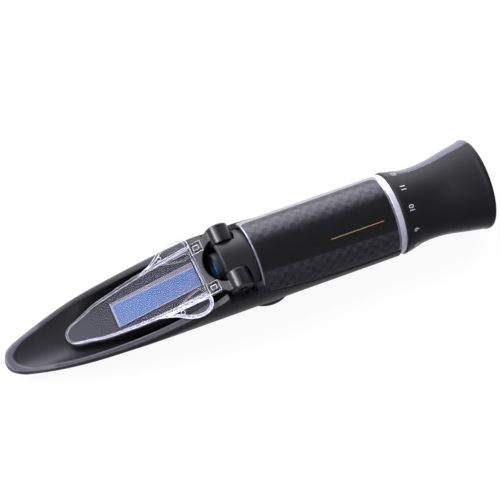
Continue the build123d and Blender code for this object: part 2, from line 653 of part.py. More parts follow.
def reticle_holder():
    """Ring that carries the scale glass in the focal plane."""
    holder = tube(reticle_x, RETICLE_HOLDER_LENGTH, LINER_BORE_R - SEAT_GAP, RETICLE_R - RETICLE_LEDGE)
    holder -= rod(reticle_x + RETICLE_SEAT, RETICLE_HOLDER_LENGTH, RETICLE_R + SEAT_GAP)
    return holder - screw(case_screw_xs[1], 0.0)


def reticle_glass():
    """Round glass that bears the salinity scale."""
    return rod(reticle_x + RETICLE_SEAT, RETICLE_THICKNESS, RETICLE_R)


def reticle_retainer():
    """Ring that presses the scale glass into its holder."""
    start = reticle_x + RETICLE_SEAT + RETICLE_THICKNESS
    return tube(start, RETICLE_RETAINER, RETICLE_R, RETICLE_R - RETICLE_LEDGE)


def eyepiece_guide():
    """Fixed tube behind the barrel: the eyecup turns on it and the lens cell slides in it."""
    guide = tube(RING_X - GUIDE_FLANGE, GUIDE_FLANGE, BORE_R - SEAT_GAP, GUIDE_BORE_R)
    guide_end = CUP_X + FOCUS_LENGTH - GUIDE_END_GAP - SEAT_GAP
    guide += tube(RING_X - 1, guide_end - RING_X + 1, GUIDE_R, GUIDE_BORE_R)
    slot = 2 * (FOCUS_TRAVEL + GUIDE_PIN_R + PASS_GAP)
    guide -= Pos(pin_x, 0, 0) * Box(slot, 2 * (GUIDE_PIN_R + RUN_GAP), 2 * BODY_R,
                                    align=(MID, MID, MIN))
    return guide - tube(oring_x - ORING_R, 2 * ORING_R, GUIDE_R + 1, oring_ring_r - ORING_R - SEAT_GAP)


def focus_oring():
    """Rubber ring that gives the focus its drag."""
    return Pos(oring_x, 0, 0) * Rot(0, 90, 0) * Torus(oring_ring_r, ORING_R)


def objective_cell():
    """Carrier of the objective: a front barrel, a neck between the hinge pins, a plate, an arm."""
    barrel = rod(objective_x, OBJECTIVE_BARREL_LENGTH, OBJECTIVE_BARREL_R, OBJECTIVE_Z)
    barrel = chamfer(barrel.edges().filter_by(GeomType.CIRCLE).sort_by(Axis.X)[0], OBJECTIVE_CHAMFER)
    plate_x = COLLAR_X + CARRIER_X
    cell = barrel + rod(objective_x + 1, plate_x - objective_x, OBJECTIVE_NECK_R, OBJECTIVE_Z)
    cell += slab(plate_x, plate_x + CARRIER_PLATE, CARRIER_HALF_WIDTH, ARM_BOTTOM_Z,
                 OBJECTIVE_Z + OBJECTIVE_NECK_R)
    cell += slab(plate_x, dial_x + ARM_OVERHANG, ARM_HALF_WIDTH, ARM_BOTTOM_Z, ARM_TOP_Z)
    cell -= rod(objective_x - 1, plate_x + CARRIER_PLATE + 2 - objective_x, OBJECTIVE_BORE_R,
                OBJECTIVE_Z)
    cell -= rod(objective_x - 1, 1 + OBJECTIVE_SHOULDER, OBJECTIVE_LENS_R + SEAT_GAP, OBJECTIVE_Z)
    stem_hole = Cylinder(STEM_R + RUN_GAP, 2 * BODY_R)
    return cell - Pos(dial_x, 0, 0) * stem_hole


def objective_lens():
    """Coated objective lens at the front of its barrel."""
    start = objective_x + OBJECTIVE_SHOULDER - OBJECTIVE_EDGE
    return lens(start, OBJECTIVE_LENS_R, OBJECTIVE_EDGE, OBJECTIVE_BULGE, 0.0, OBJECTIVE_Z)


def objective_retainer():
    """Thin ring in front of the objective lens."""
    depth = OBJECTIVE_SHOULDER - OBJECTIVE_EDGE - DOME_GAP
    return tube(objective_x + PASS_GAP, depth, OBJECTIVE_LENS_R, OBJECTIVE_LENS_R - OBJECTIVE_RING,
                OBJECTIVE_Z)


def dial_bezel():
    """Foot ring round the calibration dial; the instrument rests on it."""
    ring = Cylinder(FOOT_R, FOOT_THICKNESS, align=(MID, MID, MIN))
    ring -= Cylinder(FOOT_INNER_R, 3 * FOOT_THICKNESS)
    ring = chamfer(ring.edges().filter_by(GeomType.CIRCLE).sort_by(SortBy.RADIUS)[-2:]
                   .sort_by(Axis.Z)[0], FOOT_EDGE)
    return Pos(dial_x, 0, -AXIS_HEIGHT) * ring


def scale_dial():
    """Calibration dial with a coin slot, recessed in its foot ring."""
    dial = Cylinder(DIAL_R, DIAL_THICKNESS, align=(MID, MID, MIN))
    dial -= Box(2 * (DIAL_R - COIN_SLOT_MARGIN), COIN_SLOT_WIDTH, 2 * COIN_SLOT_DEPTH)
    dial -= Pos(0, 0, DIAL_THICKNESS - STEM_SEAT) * Cylinder(STEM_R, 2, align=(MID, MID, MIN))
    return Pos(dial_x, 0, -AXIS_HEIGHT + DIAL_RECESS) * dial


def dial_stem():
    """Fine screw that rises from the dial and lifts the objective's carrier."""
    bottom = DIAL_RECESS + DIAL_THICKNESS - STEM_SEAT - AXIS_HEIGHT
    return Pos(dial_x, 0, bottom) * Cylinder(STEM_R, ARM_TOP_Z + LIFT_GAP - bottom, align=(MID, MID, MIN))


def dial_clip():
    """Clip on the stem inside the barrel, which keeps the dial in."""
    clip = Cylinder(CLIP_RING_R, CLIP_RING_THICKNESS, align=(MID, MID, MIN))
    clip -= Cylinder(STEM_R, 2 * CLIP_RING_R)
    clip -= Box(2 * CLIP_RING_R, 2 * STEM_R - CLIP_GRIP, 2 * CLIP_RING_R, align=(MIN, MID, MID))
    return Pos(dial_x, 0, CLIP_RING_GAP - BORE_R) * clip


def dial_oring():
    """Rubber ring that seals the stem."""
    return Pos(dial_x, 0, seal_z) * Torus(STEM_R + SEAL_SECTION_R + STEM_SEAL_GAP, SEAL_SECTION_R)


def eyecup():
    """Soft rubber cup: a lip against the end ring, a slim neck and a flared mouth."""
    web_x, seat_x = CUP_X + FOCUS_LENGTH, CUP_X + FOCUS_LENGTH + CUP_WEB
    bore_r = sleeve_out_r + SEAT_GAP
    lip = (CUP_X + CUP_EDGE, BODY_R)
    rim = (REAR_X - CUP_RIM_ROUND, AXIS_HEIGHT)
    crown = (REAR_X, AXIS_HEIGHT - CUP_RIM_THICKNESS / 2)
    mouth = (REAR_X - CUP_RIM_ROUND / 3, CUP_MOUTH_R)
    deep_r = CUP_SEAT_R + 0.35 * (CUP_MOUTH_R - CUP_SEAT_R)
    flare = [(0.32, 0.0), (0.55, 0.164), (0.765, 0.589)]
    waist = [(CUP_X + along * EYECUP_LENGTH, EYECUP_NECK_R + out * (AXIS_HEIGHT - EYECUP_NECK_R))
             for along, out in flare]
    return turned(
        Line((CUP_X, bore_r), (CUP_X, BODY_R - CUP_EDGE)),
        Line((CUP_X, BODY_R - CUP_EDGE), lip),
        Spline(lip, (CUP_X + LIP_BAND, BODY_R - LIP_DROP), *waist, rim, tangents=[(1, 0), (1, 0)]),
        Spline(rim, crown, mouth, tangents=[(1, 0), (-0.6, -1)]),
        Spline(mouth, ((mouth[0] + seat_x) / 2, deep_r), (seat_x, CUP_SEAT_R)),
        Line((seat_x, CUP_SEAT_R), (seat_x, CUP_HOLE_R)),
        Line((seat_x, CUP_HOLE_R), (web_x, CUP_HOLE_R)),
        Line((web_x, CUP_HOLE_R), (web_x, bore_r)),
        Line((web_x, bore_r), (CUP_X, bore_r)),
    )


def focus_sleeve():
    """Turning sleeve inside the eyecup, relieved where the guide pin runs."""
    inner = GUIDE_R + RUN_GAP
    sleeve = tube(CUP_X + SEAT_GAP, FOCUS_LENGTH - 2 * SEAT_GAP, sleeve_out_r, inner)
    relief = FOCUS_TRAVEL + GUIDE_PIN_R + RELIEF_END
    return sleeve - rod(pin_x - relief, 2 * relief, inner + FOCUS_WALL / 2)


def lens_cell():
    """Sliding cell of the eyepiece, with a lip in front and a pin hole on top."""
    cell = tube(cell_x, CELL_LENGTH, cell_r, cell_r - CELL_WALL)
    cell += tube(cell_x, CELL_LIP, cell_r - CELL_WALL / 2, cell_r - CELL_WALL - CELL_LIP_DEPTH)
    hole = Cylinder(GUIDE_PIN_R, CELL_WALL, align=(MID, MID, MIN))
    return cell - Pos(pin_x, 0, cell_r - GUIDE_PIN_SEAT) * hole


def guide_pin():
    """Pin through the guide's slot that keeps the lens cell from turning."""
    bottom = cell_r - GUIDE_PIN_SEAT
    top = GUIDE_R + RUN_GAP + FOCUS_WALL / 2 - PIN_TOP_GAP
    return Pos(pin_x, 0, bottom) * Cylinder(GUIDE_PIN_R, top - bottom, align=(MID, MID, MIN))


def field_lens():
    """Front lens of the eyepiece."""
    return lens(field_lens_x, lens_r, LENS_EDGE, 0.0, FIELD_BULGE)


def eye_lens():
    """Rear lens of the eyepiece, nearest the eye."""
    return lens(eye_lens_x, lens_r, LENS_EDGE, EYE_BULGE_FRONT, EYE_BULGE_REAR)


def lens_spacer():
    """Tube that holds the two eyepiece lenses apart."""
    start = field_lens_x + LENS_EDGE + DOME_GAP
    return tube(start, eye_lens_x - DOME_GAP - start, lens_r, lens_r - SPACER_WALL)


def lens_retainer():
    """Ring that closes the lens cell behind the eye lens."""
    start = eye_lens_x + LENS_EDGE + DOME_GAP
    end = cell_x + CELL_LENGTH - RETAINER_END
    ring = tube(start, end - start, lens_r, lens_r - RETAINER_WALL)
    notch = Box(2 * NOTCH_DEPTH, NOTCH_WIDTH, 4 * lens_r)
    return ring - Pos(end, 0, 0) * notch


PARTS = {
    "body_shell": body_shell(),
    "front_collar": front_collar(),
    "bulkhead": bulkhead(),
    "barrel_sleeve": barrel_sleeve(),
    "barrel_label": barrel_label(),
    "end_ring": end_ring(),
    "prism_bed": prism_bed(),
    "prism_gasket": prism_gasket(),
    "prism": prism(),
    "hinge_pins": hinge_pins(),
    "case_screws": case_screws(),
    "dial_bezel": dial_bezel(),
    "dial_oring": dial_oring(),
    "liner_tube": liner_tube(),
    "baffle_rings": baffle_rings(),
    "reticle_holder": reticle_holder(),
    "reticle_glass": reticle_glass(),
    "reticle_retainer": reticle_retainer(),
    "eyepiece_guide": eyepiece_guide(),
    "focus_oring": focus_oring(),
    "cover_plate": cover_plate(),
    "cover_yoke": cover_yoke(),
    "scale_dial": scale_dial(),
    "dial_stem": dial_stem(),
    "dial_clip": dial_clip(),
    "objective_cell": objective_cell(),
    "objective_lens": objective_lens(),
    "objective_retainer": objective_retainer(),
    "eyecup": eyecup(),
    "focus_sleeve": focus_sleeve(),
    "lens_cell": lens_cell(),
    "field_lens": field_lens(),
    "eye_lens": eye_lens(),
    "lens_spacer": lens_spacer(),
    "lens_retainer": lens_retainer(),
    "guide_pin": guide_pin(),
}

os.makedirs("parts", exist_ok=True)
for name, shape in PARTS.items():
    solids = shape if isinstance(shape, list) else [shape]
    part = Compound([Pos(0, 0, AXIS_HEIGHT) * solid for one in solids for solid in one.solids()])
    export_step(part, "parts/" + name + ".step")
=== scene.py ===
import bmesh
import bpy
import json
from math import cos, pi, radians, sin
from mathutils import Matrix, Vector

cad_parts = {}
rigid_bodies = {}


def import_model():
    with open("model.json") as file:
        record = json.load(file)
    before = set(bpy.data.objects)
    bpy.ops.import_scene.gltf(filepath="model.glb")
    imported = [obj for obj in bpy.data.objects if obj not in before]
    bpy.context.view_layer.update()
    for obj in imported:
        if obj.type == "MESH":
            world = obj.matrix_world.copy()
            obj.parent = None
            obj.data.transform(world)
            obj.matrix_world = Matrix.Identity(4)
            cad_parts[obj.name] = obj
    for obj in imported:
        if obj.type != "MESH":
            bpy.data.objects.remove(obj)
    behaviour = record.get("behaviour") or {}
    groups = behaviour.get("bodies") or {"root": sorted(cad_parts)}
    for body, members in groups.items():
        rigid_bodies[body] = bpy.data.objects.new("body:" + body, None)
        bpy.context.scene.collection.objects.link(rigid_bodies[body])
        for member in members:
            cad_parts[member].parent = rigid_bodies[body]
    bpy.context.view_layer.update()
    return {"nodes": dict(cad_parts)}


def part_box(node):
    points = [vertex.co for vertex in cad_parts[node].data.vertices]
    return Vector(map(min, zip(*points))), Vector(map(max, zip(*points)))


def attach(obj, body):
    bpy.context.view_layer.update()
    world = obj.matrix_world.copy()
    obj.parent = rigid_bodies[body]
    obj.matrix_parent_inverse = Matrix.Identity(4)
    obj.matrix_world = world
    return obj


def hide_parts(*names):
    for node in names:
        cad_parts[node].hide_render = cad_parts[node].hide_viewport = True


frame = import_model()


# --- Housing ---------------------------------------------------------------------------------
# One moulding of black glass-filled plastic: scoop nose, deck and the cradle under the barrel.
# It comes out of the mould with a fine satin grain that is rubbed bright on its edges.
MM = 0.001


class Field:
    """A number, colour or direction that varies over a surface; sums on it add their own nodes."""

    def __init__(self, finish, socket):
        self.finish, self.socket = finish, socket

    def sum(self, operation, *values):
        return self.finish.add("ShaderNodeMath", {"operation": operation}, dict(enumerate(values)))

    def __add__(self, other):
        return self.sum("ADD", self, other)

    def __sub__(self, other):
        return self.sum("SUBTRACT", self, other)

    def __rsub__(self, other):
        return self.sum("SUBTRACT", other, self)

    def __mul__(self, other):
        return self.sum("MULTIPLY", self, other)

    def __truediv__(self, other):
        return self.sum("DIVIDE", self, other)

    def __lt__(self, other):
        return self.sum("LESS_THAN", self, other)

    def __gt__(self, other):
        return self.sum("GREATER_THAN", self, other)

    def __abs__(self):
        return self.sum("ABSOLUTE", self)

    __radd__, __rmul__ = __add__, __mul__

    def ramp(self, low, high, first=0.0, last=1.0):
        """Climbs from first, where this field is low, to last, where it is high."""
        return self.finish.add("ShaderNodeMapRange", {"interpolation_type": "SMOOTHSTEP"},
                               {0: self, 1: low, 2: high, 3: first, 4: last})


class Finish:
    """A material with one shader, and the one call that adds any other node to it."""

    def __init__(self, name, kind="materials", shader="Principled BSDF", **sockets):
        self.material = getattr(bpy.data, kind).new(name)
        self.material.use_nodes = True
        self.tree = self.material.node_tree
        self.shader = self.tree.nodes[shader]
        self.paint(**sockets)

    def fill(self, node, sockets):
        """Links or sets sockets of a node."""
        for key, value in sockets.items():
            if isinstance(value, Field):
                self.tree.links.new(value.socket, node.inputs[key])
            else:
                node.inputs[key].default_value = value

    def add(self, kind, settings=None, sockets=None, output=0):
        node = self.tree.nodes.new(kind)
        for key, value in (settings or {}).items():
            setattr(node, key, value)
        self.fill(node, sockets or {})
        return Field(self, node.outputs[output])

    def paint(self, **fields):
        """Links or sets sockets of the shader."""
        self.fill(self.shader, {key.replace("_", " "): value for key, value in fields.items()})

    def fed(self, socket):
        """What feeds a socket of the shader so far."""
        return Field(self, self.shader.inputs[socket].links[0].from_socket)

    def split(self, vector, axis):
        return self.add("ShaderNodeSeparateXYZ", {}, {0: vector}, axis)

    def facing(self):
        """The direction in which a face of the real mesh looks."""
        return self.add("ShaderNodeNewGeometry", output="Normal")

    def place(self, axis=None):
        """Where a point of the surface is on the finished instrument, in metres."""
        spot = self.add("ShaderNodeTexCoord", output="Object")
        return spot if axis is None else self.split(spot, axis)

    def specks(self, size, detail=2.0, stretch=(1, 1, 1)):
        """Cloudy noise with lumps of that size in millimetres, 0 to 1."""
        spot = self.add("ShaderNodeMapping", {}, {"Vector": self.place(), "Scale": stretch})
        return self.add("ShaderNodeTexNoise", {},
                        {"Vector": spot, "Scale": 1 / (size * MM), "Detail": detail})

    def mix(self, mask, first, second):
        """The first colour where the mask is 0, and the second where it is 1."""
        return self.add("ShaderNodeMix", {"data_type": "RGBA"}, {0: mask, 6: first, 7: second}, 2)

    def relief(self, height, depth, rounding=0.0):
        """Bumps of that depth in millimetres, over edges that look rounded by that radius."""
        sockets = {"Height": height, "Distance": depth * MM}
        if rounding:
            sockets["Normal"] = self.soft_edges(rounding)
        self.paint(Normal=self.add("ShaderNodeBump", {}, sockets))

    def soft_edges(self, radius):
        return self.add("ShaderNodeBevel", {"samples": 6}, {"Radius": radius * MM})

    def edges(self, radius):
        """1 along the edges of a piece and 0 on its flats."""
        meet = self.add("ShaderNodeVectorMath", {"operation": "DOT_PRODUCT"},
                        {0: self.soft_edges(radius), 1: self.facing()}, "Value")
        return meet.ramp(0.995, 0.80)


def ink(red, green, blue):
    """A colour written as it looks on a screen, 0 to 255, turned into a shader's linear one."""
    parts = [part / 255 for part in (red, green, blue)]
    linear = [((part + 0.055) / 1.055) ** 2.4 if part > 0.04 else part / 12.92 for part in parts]
    return (*linear, 1.0)


def wear(finish, *nodes):
    """Gives a finish to nodes that keep their shape."""
    for node in nodes:
        slots = frame["nodes"][node].data.materials
        slots.clear()
        slots.append(finish.material)


MOTTLE_SIZE, GRAIN_SIZE, GRAIN_DEPTH = 9, 0.35, 0.035
RUB_SIZE, RUB_WIDTH = 3, 0.3
EDGE_ROUND, RIM_ROUND, RIM_HEIGHT = 0.5, 1.7, 6.84


def moulded(name, dark, light, rough, edge, rounding=0.35):
    """Black moulded plastic: mottled, finely grained, with its edges rubbed smoother."""
    finish = Finish(name, Specular_IOR_Level=0.5)
    mottle, grain = finish.specks(MOTTLE_SIZE, 3), finish.specks(GRAIN_SIZE, 3)
    rubbed = finish.edges(RUB_WIDTH) * finish.specks(RUB_SIZE, 3).ramp(0.35, 0.65)
    body = finish.mix(mottle.ramp(0.3, 0.7), ink(*dark), ink(*light))
    finish.paint(Base_Color=finish.mix(rubbed, body, ink(*edge)),
                 Roughness=rough + (mottle - 0.5) * 0.10 + (grain - 0.5) * 0.12 - rubbed * 0.10)
    finish.relief(grain, GRAIN_DEPTH, rounding)
    return finish


housing_black = moulded("housing_black", (12, 12, 15), (17, 17, 21), 0.36, (44, 43, 50), EDGE_ROUND)
on_nose = housing_black.place(0).ramp(-0.024, -0.034)
rolled = housing_black.mix(on_nose, housing_black.soft_edges(EDGE_ROUND), housing_black.soft_edges(RIM_ROUND))
housing_black.fill(housing_black.fed("Normal").socket.node, {"Normal": rolled})

# On the near side of the nose the level top of the rim and its edge are painted lighter grey, a painted
# highlight where the rim catches the light.
near_side = on_nose * housing_black.place(1).ramp(0.013, 0.008)
level_face = abs(housing_black.split(housing_black.facing(), 1)).ramp(0.06, 0.03)
off_rim = abs(housing_black.place(2) / MM - RIM_HEIGHT)
rim_top_highlight = near_side * level_face * off_rim.ramp(1.6, 1.1)
tone = housing_black.mix(rim_top_highlight, housing_black.fed("Base Color"), ink(60, 59, 67))
# The rim's edge on the near side is painted lighter still, a painted highlight.
rim_edge_highlight = housing_black.edges(RIM_ROUND) * near_side
housing_black.paint(Base_Color=housing_black.mix(rim_edge_highlight, tone, ink(84, 82, 93)))
wear(housing_black, "body_shell", "bulkhead")


# --- Front collar ----------------------------------------------------------------------------
# The black bridge over the front of the barrel, with the saddle and its two cheeks between the
# hinge bosses. A moulding like the housing, snapped down on the deck and held by its groove.
collar_black = moulded("collar_black", (11, 11, 13), (16, 16, 19), 0.34, (48, 47, 54))
wear(collar_black, "front_collar")


# --- Barrel sleeve and end ring --------------------------------------------------------------
# A thin aluminium shell over the barrel and the ring that closes it before the eyecup, both
# turned on a lathe, polished and left bare; fine tool lines run round them.
def turned_metal(name, colour, rough):
    finish = Finish(name, Metallic=1.0)
    lines = finish.specks(0.25, 2, stretch=(1, 0.02, 0.02))
    haze = finish.specks(5, 3)
    dull = [part - 14 for part in colour]
    finish.paint(Base_Color=finish.mix(haze.ramp(0.3, 0.7), ink(*colour), ink(*dull)),
                 Roughness=rough + (lines - 0.5) * 0.10 + (haze - 0.5) * 0.06)
    finish.relief(lines, 0.002, rounding=0.2)
    return finish


sleeve_metal = turned_metal("sleeve_metal", (182, 181, 196), 0.32)
ring_metal = turned_metal("ring_metal", (196, 196, 207), 0.34)
ring_metal.paint(Metallic=0.6)
wear(sleeve_metal, "barrel_sleeve")
wear(ring_metal, "end_ring")


# --- Label on the barrel ---------------------------------------------------------------------
# Printed polyester foil glued round the sleeve under a clear film: a plain black band between two
# woven-carbon fields, a thin gold rule and a grey cut edge. The fields' paler tone and the black band's soft
# top and sharp slanted lower edge are a painted reflection of the room on the glossy foil. Its corners are
# rounded.
AXIS_Z = 18.25
LABEL_R = 16.0
LABEL_LIFT, FOIL_THICK, CUT_EDGE = 0.10, 0.09, 0.22
CORNER_ROUND, TIP_ROUND = 2.6, 1.6
CHECK = 2.2
FIELD_FADES, FIELD_ENDS = radians(76), radians(92)
BAND_ENDS, BAND_FROM, BAND_SLANT = radians(132.5), 8, 0.0021
RULE_TURN, RULE_HALF, RULE_FROM, RULE_TO = radians(119.6), 0.0105, 30.5, 52.5
SHARP_TURN = radians(32)


def finished(name, mesh_or_bm, finishes, body, smooth=True):
    """Makes an object of a bmesh or mesh, in place, and says what it is made of and rides on."""
    mesh = mesh_or_bm
    if isinstance(mesh, bmesh.types.BMesh):
        mesh = bpy.data.meshes.new(name)
        mesh_or_bm.to_mesh(mesh)
        mesh_or_bm.free()
    mesh.name = name
    for finish in finishes:
        mesh.materials.append(finish.material)
    if smooth:
        mesh.shade_smooth()
        mesh.set_sharp_from_angle(angle=SHARP_TURN)
    else:
        mesh.shade_flat()
    piece = bpy.data.objects.new(name, mesh)
    bpy.context.scene.collection.objects.link(piece)
    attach(piece, body)
    return piece


foil = Finish("label_foil", Coat_Roughness=0.16, Coat_IOR=1.45, Specular_IOR_Level=0.2)
along, over_axis = foil.place(0) / MM, foil.place(2) - AXIS_Z * MM
turn = over_axis.sum("ARCTAN2", over_axis, foil.place(1))
turn = turn + (turn < -pi / 2) * (2 * pi)
woven = foil.add("ShaderNodeCombineXYZ", {}, {0: along / CHECK, 1: turn * (LABEL_R / CHECK), 2: 0.5})
checks = foil.add("ShaderNodeTexChecker", {}, {"Vector": woven, "Scale": 1.0}, "Fac")
slant = foil.specks(1.6, 3)
tow = checks * 0.45 + slant.ramp(0.35, 0.65) * 0.4
top_carbon_and_reflection = foil.mix(tow, ink(20, 20, 25), ink(50, 49, 58))
low_carbon_and_reflection = foil.mix(tow, ink(19, 18, 23), ink(40, 38, 45))
# The carbon checks and the gold rule are print; the fields' paler tone, the fade of the black band at its top
# and its sharp slanted lower edge are a painted reflection.
band_end = BAND_ENDS + (along - BAND_FROM) * BAND_SLANT
print_and_reflection = foil.mix(turn.ramp(FIELD_FADES, FIELD_ENDS), top_carbon_and_reflection, ink(7, 7, 9))
print_and_reflection = foil.mix(turn > band_end, print_and_reflection, low_carbon_and_reflection)
rule = (abs(turn - RULE_TURN) < RULE_HALF) * (along > RULE_FROM) * (along < RULE_TO)
print_and_reflection = foil.mix(rule, print_and_reflection, ink(112, 97, 52))
foil.paint(Base_Color=print_and_reflection, Roughness=0.34 + (slant - 0.5) * 0.2, Coat_Weight=0.3 + slant * 0.2)
foil.relief(tow, 0.012)

label = bmesh.new()
corners = [(0.85, 44.5), (57.4, 44.5), (57.4, 178.0), (47.4, 180.0), (36.5, 180.0), (25.5, 177.0),
           (15.5, 171.0), (5.0, 165.0), (0.85, 160.0)]
label_verts = [label.verts.new((x * MM, radians(turned) * LABEL_R * MM, 0)) for x, turned in corners]
label.faces.new(label_verts)
bmesh.ops.bevel(label, geom=label_verts[:3], offset=CORNER_ROUND * MM, segments=6,
                profile=0.5, affect="VERTICES", material=-1)
at_tip = [one for one in label.verts if one.co.x < 6 * MM and one.co.y > 44 * MM]
bmesh.ops.bevel(label, geom=at_tip, offset=TIP_ROUND * MM, segments=5,
                profile=0.5, affect="VERTICES", material=-1)
cut_edge = bmesh.ops.inset_region(label, faces=label.faces[:], thickness=CUT_EDGE * MM, use_boundary=True,
                                   use_even_offset=True)["faces"]
for face in cut_edge:
    face.material_index = 1
# Cut into strips along the barrel, so that it bends round the sleeve.
for step in range(46, 180, 3):
    everything = label.verts[:] + label.edges[:] + label.faces[:]
    bmesh.ops.bisect_plane(label, geom=everything, plane_co=(0, radians(step) * LABEL_R * MM, 0),
                           plane_no=(0, 1, 0), dist=1e-7)
for vert in label.verts:
    turned = vert.co.y / (LABEL_R * MM)
    radius = (LABEL_R + LABEL_LIFT) * MM
    vert.co = Vector((vert.co.x, radius * cos(turned), AXIS_Z * MM + radius * sin(turned)))
bmesh.ops.recalc_face_normals(label, faces=label.faces)
bmesh.ops.solidify(label, geom=label.faces[:], thickness=-FOIL_THICK * MM)

foil_edge = Finish("label_edge", Specular_IOR_Level=0.6)
nicks = foil_edge.specks(0.7, 3)
foil_edge.paint(Base_Color=foil_edge.mix(nicks.ramp(0.3, 0.7), ink(44, 43, 50), ink(92, 90, 102)),
                Roughness=0.3 + nicks * 0.15)
label_piece = finished("label", label, [foil, foil_edge], "housing")
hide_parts("barrel_label")


# --- Prism and its bed -----------------------------------------------------------------------
# The island that holds the prism is moulded in dark grey with a soft grain. The prism is an optical glass
# wedge with a clear top and a ground far side. Its top is painted with the blue it reflects, a painted
# reflection, and with the ground far side as seen through it; bright lines along its edges are painted
# highlights.
bed_grey = moulded("bed_grey", (17, 17, 20), (34, 33, 39), 0.50, (56, 55, 63))
bed_grey.paint(Specular_IOR_Level=0.13)
wear(bed_grey, "prism_bed")

PRISM_TIP, PRISM_LONG = -54.25, 34.2
LIT_TIP, LIT_REAR, LIT_NEAR, LIT_FAR, LIT_HALF = -53.70, -20.92, -4.92, 4.95, 0.16
GROUND_TIP, GROUND_CLIMB = 4.2, 1.3

glass = Finish("prism_glass", Roughness=0.12, Specular_IOR_Level=0.15, Coat_Weight=0.06, Coat_Roughness=0.03)
along, across = glass.place(0) / MM, glass.place(1) / MM
share = (along - PRISM_TIP) / PRISM_LONG
cloud = glass.specks(7, 3, stretch=(0.4, 1, 1))
streak = glass.specks(1.1, 2, stretch=(0.05, 1, 0.05))
# The blue is a painted reflection, clouded greyer in places.
blue = glass.mix(share.ramp(0.0, 1.0), ink(60, 83, 122), ink(50, 71, 112))
blue = glass.mix(cloud.ramp(0.45, 0.72) * 0.55, blue, ink(80, 86, 112))
ground = glass.mix(streak.ramp(0.3, 0.7), ink(74, 71, 84), ink(98, 95, 108))
limit = GROUND_TIP - share * GROUND_CLIMB
colour = glass.mix(across > limit, blue, ground)
# Painted highlights: bright lines along the prism's edges and along the edge of the ground side.
prism_edge_highlight = ((abs(across - limit) < LIT_HALF) + (across < LIT_NEAR) + (along < LIT_TIP) + (along > LIT_REAR)
          + (across > LIT_FAR) * 0.6)
colour = glass.mix(prism_edge_highlight.ramp(0.0, 1.0), colour, ink(118, 120, 134))
glass.paint(Base_Color=colour)
wear(glass, "prism")


# --- Gasket round the prism ------------------------------------------------------------------
# A thin black rubber frame cast between the prism and its bed, flush with the glass on top.
# It seals the gap against the drop that is measured.
HINGE = Vector((-7.95, 0, 28.40)) * MM
SLOPE = radians(19.93)
GASKET_WIDE, GASKET_DEEP, GASKET_TOP = 0.62, 0.6, 2.19
cover_plane = Matrix.Translation(HINGE) @ Matrix.Rotation(-SLOPE, 4, "Y")


def rubber(name, dark, light, rough):
    finish = Finish(name, Specular_IOR_Level=0.5)
    cloud, pores = finish.specks(6, 3), finish.specks(0.25, 3)
    finish.paint(Base_Color=finish.mix(cloud.ramp(0.3, 0.7), ink(*dark), ink(*light)),
                 Roughness=rough + (cloud - 0.5) * 0.08 + (pores - 0.5) * 0.10)
    return finish, pores


gasket_rubber, pores = rubber("gasket_rubber", (14, 14, 16), (22, 22, 25), 0.6)
gasket_rubber.relief(pores, 0.01)
gasket_rubber.paint(Specular_IOR_Level=0.12)
gasket = bmesh.new()
bmesh.ops.create_grid(gasket, x_segments=1, y_segments=1, size=0.5)
low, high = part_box("prism_gasket")
bmesh.ops.scale(gasket, vec=(high[0] - low[0], high[1] - low[1], 1), verts=gasket.verts)
ring = bmesh.ops.inset_region(gasket, faces=gasket.faces[:], thickness=GASKET_WIDE * MM, use_boundary=True,
                              use_even_offset=True)["faces"]
bmesh.ops.delete(gasket, geom=[face for face in gasket.faces if face not in ring], context="FACES")
pulled = bmesh.ops.extrude_face_region(gasket, geom=gasket.faces[:])["geom"]
pulled = [one for one in pulled if isinstance(one, bmesh.types.BMVert)]
bmesh.ops.translate(gasket, vec=(0, 0, -GASKET_DEEP * MM), verts=pulled)
bmesh.ops.recalc_face_normals(gasket, faces=gasket.faces)
bmesh.ops.bevel(gasket, geom=gasket.edges[:], offset=0.06 * MM, segments=2, profile=0.5, affect="EDGES",
                material=-1)
middle = (Vector(low) + Vector(high)) / 2
along_plane = (middle.x - HINGE.x) / cos(SLOPE)
for vert in gasket.verts:
    vert.co.x /= cos(SLOPE)
gasket.transform(cover_plane @ Matrix.Translation((along_plane, 0, GASKET_TOP * MM)))
gasket_piece = finished("gasket", gasket, [gasket_rubber], "housing")
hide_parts("prism_gasket")


# --- Cover plate -----------------------------------------------------------------------------
# Clear injection-moulded acrylic: a thin plate with a rounded, raised rim, two finger ears and two clip
# blocks that snap over the tongues of the yoke. Polished; its edges are painted white and glow, a painted
# highlight, and the near side of the rim, the near ear bead and the clip blocks' walls take a painted milky
# sheen.
clear = Finish("clear_acrylic", Base_Color=ink(70, 74, 90), Roughness=0.04, IOR=1.49,
               Specular_IOR_Level=0.6, Coat_Weight=1.0, Coat_Roughness=0.03)
scuffs = clear.specks(0.8, 3, stretch=(0.15, 1, 1))
clear.paint(Alpha=0.05 + scuffs.ramp(0.55, 0.8) * 0.03)
clear.relief(clear.specks(12, 1), 0.02)
